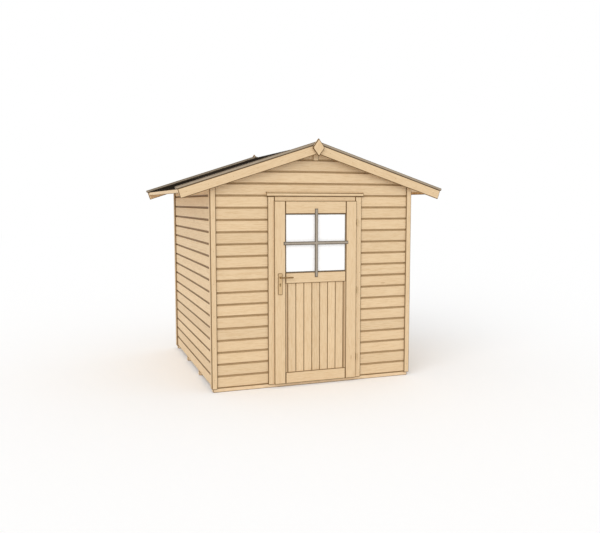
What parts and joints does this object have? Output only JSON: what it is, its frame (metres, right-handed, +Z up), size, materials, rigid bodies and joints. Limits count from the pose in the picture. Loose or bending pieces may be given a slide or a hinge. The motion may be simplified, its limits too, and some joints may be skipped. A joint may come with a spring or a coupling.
{
  "type": "wooden garden shed",
  "caption": "Small boarded garden shed with a gabled felt roof and a half-glazed door that opens outward, with a sprung lever handle.",
  "frame": {"origin": "centre of the shed's footprint at ground level, under the ridge", "axes": "+Z up, +Y from the door's gable to the back, +X to the right as one faces the door"},
  "size_m": [2.683, 2.282, 2.3675],
  "materials": {
    "floor_timber": "sawn spruce",
    "wall_boards": "planed spruce, untreated",
    "frame_timber": "planed spruce, untreated",
    "trim_timber": "planed spruce, untreated",
    "door_timber": "planed spruce, untreated",
    "roof_timber": "sawn spruce",
    "verge_timber": "weathered spruce",
    "roof_felt": "mineral felt, matt",
    "door_pane": "opal sheet, satin",
    "hinge_steel": "zinc plated",
    "handle_metal": "anodised, satin"
  },
  "bodies": {
    "shed": {"floor_bearers": "floor_timber", "floor_boards": "floor_timber", "left_wall": "wall_boards", "right_wall": "wall_boards", "back_wall": "wall_boards", "front_gable": "wall_boards", "front_wall_left": "wall_boards", "front_wall_right": "wall_boards", "side_wall_plates": "frame_timber", "side_wall_studs": "frame_timber", "end_wall_rails": "frame_timber", "end_wall_studs": "frame_timber", "front_corner_strips": "trim_timber", "back_corner_strips": "trim_timber", "left_corner_strips": "trim_timber", "right_corner_strips": "trim_timber", "door_jambs": "trim_timber", "door_head_lining": "trim_timber", "threshold": "trim_timber", "door_casings": "trim_timber", "door_head_strip": "trim_timber", "drip_cap": "trim_timber", "frame_hinge_knuckles": "hinge_steel", "ridge_purlin": "frame_timber", "roof_boards_left": "roof_timber", "roof_boards_right": "roof_timber", "roof_felt_left": "roof_felt", "roof_felt_right": "roof_felt", "eave_strips": "trim_timber", "front_barge_left": "trim_timber", "front_barge_right": "trim_timber", "back_barge_left": "trim_timber", "back_barge_right": "trim_timber", "verge_caps_left": "verge_timber", "verge_caps_right": "verge_timber", "gable_ornaments": "trim_timber"},
    "door": {"door_stiles": "door_timber", "door_rails": "door_timber", "door_panel": "door_timber", "door_glass": "door_pane", "glazing_beads": "door_timber", "glazing_bars": "verge_timber", "door_hinge_knuckles": "hinge_steel", "handle_plates": "handle_metal", "lock_cylinder": "hinge_steel"},
    "lever": {"lever_handles": "handle_metal", "lever_spindle": "hinge_steel"}
  },
  "joints": [
    {"name": "door_hinge", "type": "hinge", "parent": "shed", "child": "door", "pos_m": [0.43, -1.07, 0.907], "axis": [0, 0, 1], "range_deg": [0, 110]},
    {"name": "lever_turn", "type": "hinge", "parent": "door", "child": "lever", "pos_m": [-0.365, -1.058, 1.06], "axis": [0, 1, 0], "range_deg": [0, 40], "stiffness_Nm_per_rad": 1.5, "springref_deg": -20.05}
  ]
}
